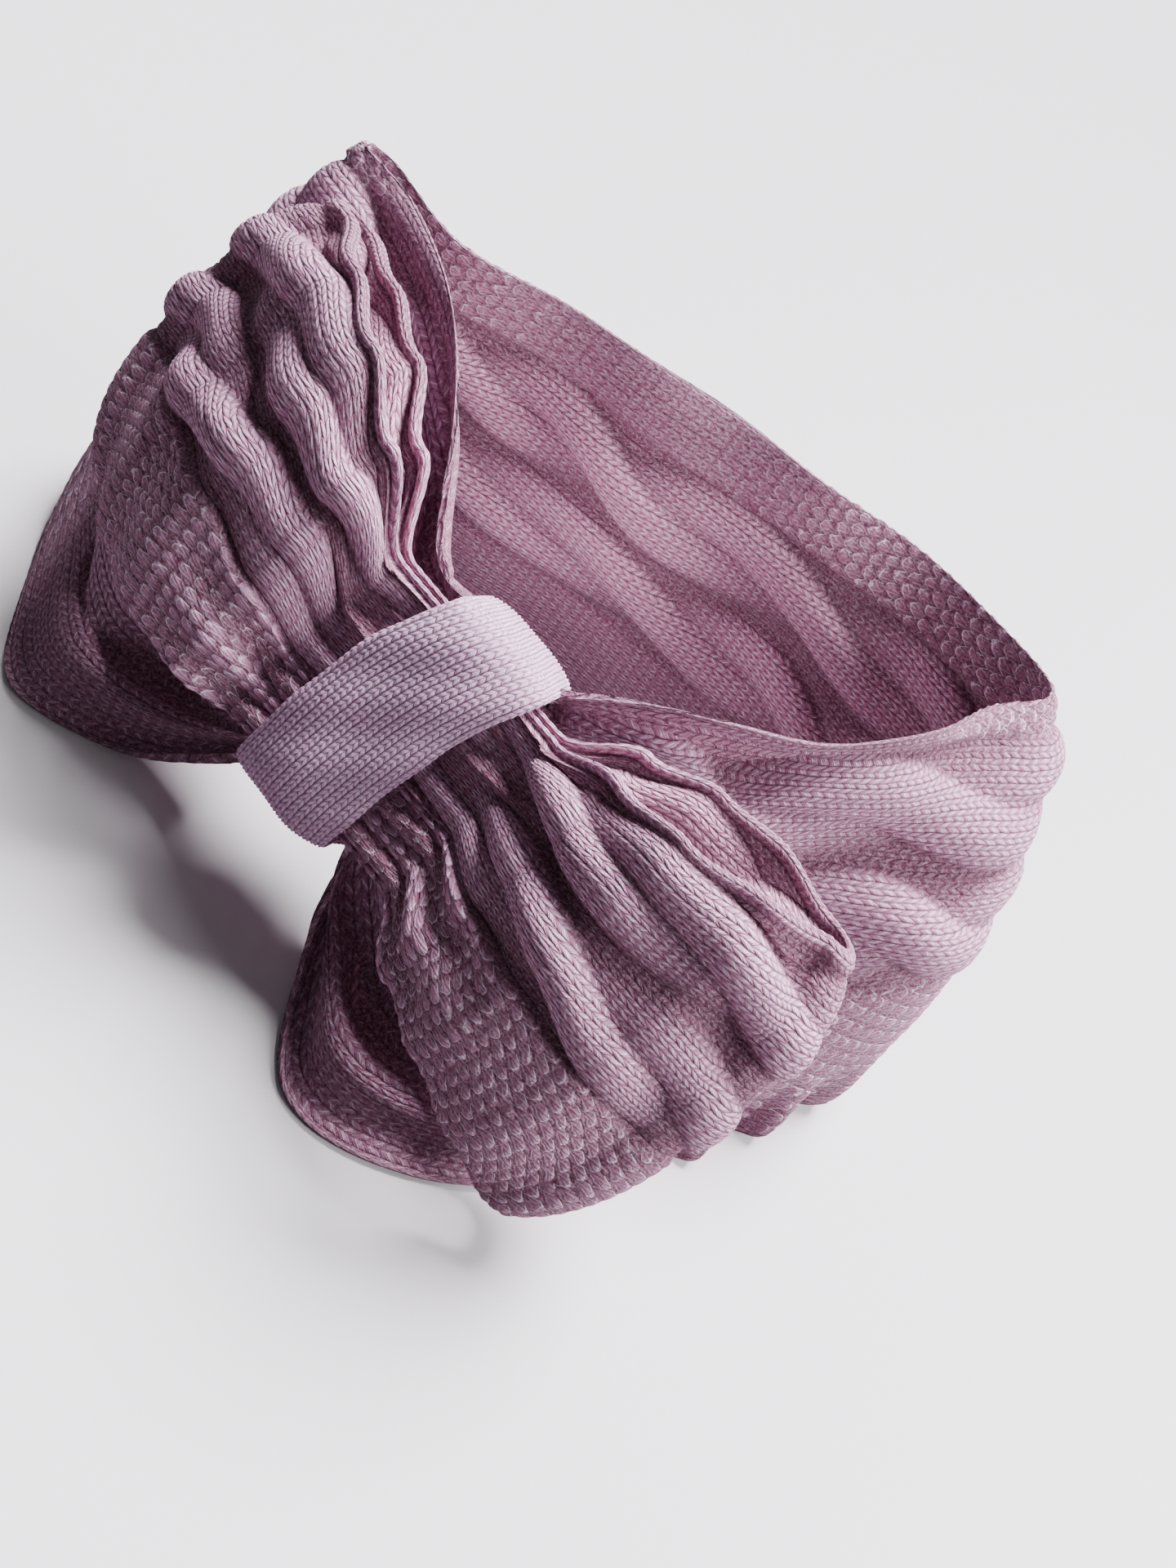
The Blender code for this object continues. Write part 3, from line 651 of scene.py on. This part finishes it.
def plain_stitches():
    """Columns of V stitches, one to a UV unit, with pale filaments along each leg."""
    tree, g, u, v, wander, end = stitch_group("plain_stitches")
    u = g.plus(u, wander, 0.35)
    v = g.plus(v, wander, 0.5)
    a = g.math('ABSOLUTE', g.math('SUBTRACT', g.math('FRACT', u), 0.5))
    w = g.math('FRACT', g.math('SUBTRACT', v, g.math('MULTIPLY', a, 1.3)))
    arch = g.math('MULTIPLY', g.math('SINE', g.math('MULTIPLY', a, 2 * math.pi)), 0.8)
    column = g.plus(arch, g.math('SUBTRACT', 1.0, g.math('MULTIPLY', a, 2.0)), 0.2)
    leg = g.math('POWER', g.math('SINE', g.math('MULTIPLY', w, math.pi)), 0.6)
    body = g.math('SQRT', g.math('MAXIMUM', column, 0.0))
    height = g.math('MULTIPLY', body, g.plus(0.4, leg, 0.6))
    strands = g.math('SINE', g.plus(g.math('MULTIPLY', w, 2 * math.pi * 5), wander, 9.0))
    off_line = g.math('ABSOLUTE', g.math('SUBTRACT', w, g.math('ADD', 0.55, wander)))
    filament = g.math('MULTIPLY', g.ramp(off_line, 0.12, 0.03), g.ramp(column, 0.2, 0.6))
    g.feed(end["Height"], g.plus(height, strands, 0.05))
    g.feed(end["Filament"], filament)
    return tree


def scale_stitches():
    """Moss stitch: rows of overlapping soft scales, with fibres and a pale yarn round each lip."""
    tree, g, u, v, wander, end = stitch_group("scale_stitches")
    x = g.plus(g.math('MULTIPLY', u, SCALES_ACROSS), wander, 0.30)
    y = g.plus(g.math('MULTIPLY', v, SCALES_ALONG), wander, 0.45)
    half_row = g.math('MULTIPLY', g.math('FLOORED_MODULO', g.math('FLOOR', y), 2.0), 0.5)
    top, top_across = scale_rest(g, x, y, half_row, 1.0)
    under, under_across = scale_rest(g, x, y, g.math('ADD', half_row, 0.5), 2.0)
    on_top = g.math('GREATER_THAN', top, 0.0)
    rest = g.fade(on_top, under, top)
    across = g.fade(on_top, under_across, top_across)
    lip = g.math('ABSOLUTE', g.math('SUBTRACT', top, g.math('ADD', 0.14, wander)))
    bent = g.plus(g.math('MULTIPLY', across, 2.2), rest, 0.9)
    strands = g.math('SINE', g.plus(g.math('MULTIPLY', bent, 2 * math.pi), wander, 14.0))
    round_across = g.math('SUBTRACT', 1.0, g.math('POWER', across, 3.0))
    falling = g.math('SUBTRACT', 1.0, g.math('MULTIPLY', rest, 0.62))
    dome = g.math('MULTIPLY', round_across, falling, clamp=True)
    fibres = g.math('MULTIPLY', g.ramp(strands, 0.55, 1.0, 0.0, 0.55), dome)
    g.feed(end["Height"], g.plus(dome, strands, 0.09))
    g.feed(end["Filament"], g.math('ADD', g.ramp(lip, 0.08, 0.02), fibres))
    return tree


def scale_rest(g, x, y, shift, length):
    """How far a place is from its scale's rounded lip, and from the scale's middle line."""
    middle = g.math('SUBTRACT', g.math('FRACT', g.math('ADD', x, shift)), 0.5)
    across = g.math('ABSOLUTE', g.math('MULTIPLY', middle, 2.0))
    drop = g.math('MULTIPLY', g.math('POWER', across, 2.6), 0.62)
    return g.math('SUBTRACT', g.math('SUBTRACT', length, g.math('FRACT', y)), drop), across


def place_group(g, tree, stitches, wander):
    node = g.add("ShaderNodeGroup", node_tree=tree)
    g.feed(node.inputs["Stitches"], stitches)
    g.feed(node.inputs["Wander"], wander)
    return node.outputs["Height"], node.outputs["Filament"]


def knit_material(name, groups, colours, stitch_size, bump):
    """Soft brushed knit: colours are its painted shade in the valleys, body, inside (partly painted bounce
    light) and filament.
    """
    valley_shade, body, inside, filament = (tone + (1.0,) for tone in colours)
    material = bpy.data.materials.new(name)
    material.use_nodes = True
    g = Graph(material.node_tree)
    shader = material.node_tree.nodes["Principled BSDF"]
    place = g.add("ShaderNodeTexCoord").outputs["Object"]
    stitches = g.add("ShaderNodeUVMap").outputs["UV"]
    wander = g.math('MULTIPLY', g.math('SUBTRACT', g.noise(place, 300.0, 3.0), 0.5), 1.0)
    plain_height, plain_pale = place_group(g, groups[0], stitches, wander)
    scale_height, scale_pale = place_group(g, groups[1], stitches, wander)
    scales = g.add("ShaderNodeAttribute", attribute_name="scales").outputs["Fac"]
    depth = g.add("ShaderNodeAttribute", attribute_name="depth").outputs["Fac"]
    inner = g.add("ShaderNodeAttribute", attribute_name="inner").outputs["Fac"]
    plain_pale = g.math('MULTIPLY', plain_pale, g.ramp(depth, 0.15, 0.55, 0.25, 1.0))
    height = g.fade(scales, plain_height, scale_height)
    pale = g.fade(scales, plain_pale, scale_pale)
    patches = g.noise(place, 38.0, 3.0)
    fibre = g.noise(place, 1500.0, 4.0, 0.8)
    # The inside of the ring and the loops is pinker: partly the yarn's own tone, partly painted bounce
    # light.
    base = g.mix(g.math('MULTIPLY', inner, 0.8), body, inside)
    base = g.mix(g.ramp(patches, 0.3, 0.7, 0.0, 0.35), base, inside)
    # Painted shade: darker between the stitches, where the stitch height is low.
    base = g.mix(g.ramp(height, 0.8, 0.2), base, valley_shade)
    # Painted shade: darker in the valleys between the cables and folds, where depth is low.
    base = g.mix(g.ramp(depth, 0.66, 0.10, 0.0, 0.90), base, valley_shade)
    glint = g.math('MULTIPLY', pale, g.ramp(g.noise(place, 420.0, 2.0), 0.36, 0.50))
    base = g.mix(g.math('MULTIPLY', glint, 0.95), base, filament)
    base = g.mix(g.ramp(fibre, 0.4, 0.7, 0.0, 0.36), base, filament)
    g.feed(shader.inputs["Base Color"], base)
    g.feed(shader.inputs["Roughness"], g.ramp(glint, 0.0, 1.0, 0.86, 0.55))
    shader.inputs["Sheen Weight"].default_value = 0.22
    shader.inputs["Sheen Roughness"].default_value = 0.45
    shader.inputs["Sheen Tint"].default_value = SHEEN_COLOUR + (1.0,)
    shader.inputs["Specular IOR Level"].default_value = 0.25
    lumps = g.math('ADD', height, g.math('MULTIPLY', fibre, 0.28))
    relief = g.add("ShaderNodeBump")
    relief.inputs["Strength"].default_value = bump
    relief.inputs["Distance"].default_value = stitch_size * 0.3
    g.feed(relief.inputs["Height"], lumps)
    g.feed(shader.inputs["Normal"], relief.outputs["Normal"])
    return material


def thread_material(name, colour):
    """Twisted sewing thread with fine slanting plies, and painted shade in the grooves between them."""
    material = bpy.data.materials.new(name)
    material.use_nodes = True
    g = Graph(material.node_tree)
    shader = material.node_tree.nodes["Principled BSDF"]
    place = g.add("ShaderNodeTexCoord").outputs["Object"]
    plies = g.add("ShaderNodeTexWave", wave_type='BANDS', bands_direction='DIAGONAL')
    g.feed(plies.inputs["Vector"], place)
    plies.inputs["Scale"].default_value = 700.0
    plies.inputs["Distortion"].default_value = 1.5
    # Painted shade: the thread is darker in the grooves between its plies, where the bump is low.
    ply_groove_shade = tuple(part * 0.55 for part in colour) + (1.0,)
    g.feed(shader.inputs["Base Color"], g.mix(plies.outputs["Fac"], ply_groove_shade, colour + (1.0,)))
    shader.inputs["Roughness"].default_value = 0.6
    relief = g.add("ShaderNodeBump")
    relief.inputs["Distance"].default_value = 0.0002
    g.feed(relief.inputs["Height"], plies.outputs["Fac"])
    g.feed(shader.inputs["Normal"], relief.outputs["Normal"])
    return material


# ---- floor, light and camera ---------------------------------------------------------------------

def make_floor():
    """A plain pale floor that throws little light back up."""
    bm = bmesh.new()
    bmesh.ops.create_grid(bm, x_segments=1, y_segments=1, size=3.0)
    mesh = bpy.data.meshes.new("floor")
    bm.to_mesh(mesh)
    bm.free()
    floor = bpy.data.objects.new("floor", mesh)
    bpy.context.scene.collection.objects.link(floor)
    material = bpy.data.materials.new("pale_floor")
    material.use_nodes = True
    g = Graph(material.node_tree)
    shader = material.node_tree.nodes["Principled BSDF"]
    place = g.add("ShaderNodeTexCoord").outputs["Object"]
    tone = g.mix(g.noise(place, 6.0), *(tone + (1.0,) for tone in FLOOR_COLOURS))
    seen = g.add("ShaderNodeLightPath").outputs["Is Camera Ray"]
    g.feed(shader.inputs["Base Color"], g.mix(seen, FLOOR_GLOW + (1.0,), tone))
    shader.inputs["Roughness"].default_value = 0.9
    mesh.materials.append(material)


def light(name, kind, place, target, size, strength, colour):
    """A soft lamp that faces the target. Its size is a disk's width, or a sun's spread in radians."""
    lamp = bpy.data.lights.new(name, kind)
    if kind == 'SUN':
        lamp.angle = size
    else:
        lamp.shape = 'DISK'
        lamp.size = size
    lamp.energy = strength
    lamp.color = colour
    holder = bpy.data.objects.new(name, lamp)
    bpy.context.scene.collection.objects.link(holder)
    holder.location = place
    holder.visible_camera = False
    holder.rotation_euler = (Vector(target) - Vector(place)).to_track_quat('-Z', 'Y').to_euler()


def make_light():
    """High soft light from behind, a weaker lamp over the ring, and a dim room that looks pale."""
    world = bpy.data.worlds.new("studio")
    bpy.context.scene.world = world
    world.use_nodes = True
    g = Graph(world.node_tree)
    back = world.node_tree.nodes["Background"]
    back.inputs["Color"].default_value = ROOM_COLOUR + (1.0,)
    seen = g.add("ShaderNodeLightPath").outputs["Is Camera Ray"]
    g.feed(back.inputs["Strength"], g.plus(ROOM_LIGHT, seen, ROOM_SEEN))
    middle = (0.0, 0.0, 0.05)
    light("key_light", 'SUN', (0.10, 0.62, 0.82), (0.0, 0.0, 0.0), 0.48, 13.5, (0.97, 0.92, 0.98))
    light("side_light", 'AREA', (0.80, 0.10, 0.45), middle, 0.60, 13.0, (1.0, 0.95, 1.0))
    light("ring_light", 'AREA', (-0.01, 0.0, 0.065), (0.02, 0.10, 0.02), 0.06, 0.055, (1.0, 0.88, 1.0))


def make_camera():
    """Looks down at the bow from in front, turned well over on its side."""
    turn, rise, roll = math.radians(1.2), math.radians(50.0), math.radians(39.9)
    back = Vector((math.sin(turn) * math.cos(rise), -math.cos(turn) * math.cos(rise), math.sin(rise)))
    right = Vector((math.cos(turn), math.sin(turn), 0.0))
    up = back.cross(right)
    across = right * math.cos(roll) + up * math.sin(roll)
    upward = up * math.cos(roll) - right * math.sin(roll)
    data = bpy.data.cameras.new("camera")
    data.lens = 27.66
    data.sensor_width = 36.0
    data.clip_start = 0.01
    camera = bpy.data.objects.new("camera", data)
    bpy.context.scene.collection.objects.link(camera)
    camera.matrix_world = Matrix.Translation((0.02973, -0.17785, 0.2580)) @ Matrix(
        (across, upward, back)).transposed().to_4x4()
    bpy.context.scene.camera = camera


# ---- everything together -------------------------------------------------------------------------

def main():
    groups = (plain_stitches(), scale_stitches())
    knit = knit_material("pink_knit", groups, KNIT_COLOURS, 0.0026, 1.0)
    fine_knit = knit_material("fine_pink_knit", groups, FINE_KNIT_COLOURS, 0.0018, 0.9)
    thread = thread_material("sewing_thread", THREAD_COLOUR)
    make_band(knit)
    make_core(knit)
    make_loop("right_loop_cloth", "bow_loop_right", RIGHT_LOOP, 1, RIGHT_BEND,
              RIGHT_LOOP_REACH, 0.007, knit)
    make_loop("left_loop_cloth", "bow_loop_left", LEFT_LOOP, -1, LEFT_BEND,
              LEFT_LOOP_REACH, 0.002, knit)
    make_wrap(fine_knit)
    for name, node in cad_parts.items():
        if "seam" in name or "stitch" in name:
            for place in node.material_slots:
                place.material = thread
    make_floor()
    make_light()
    make_camera()


main()
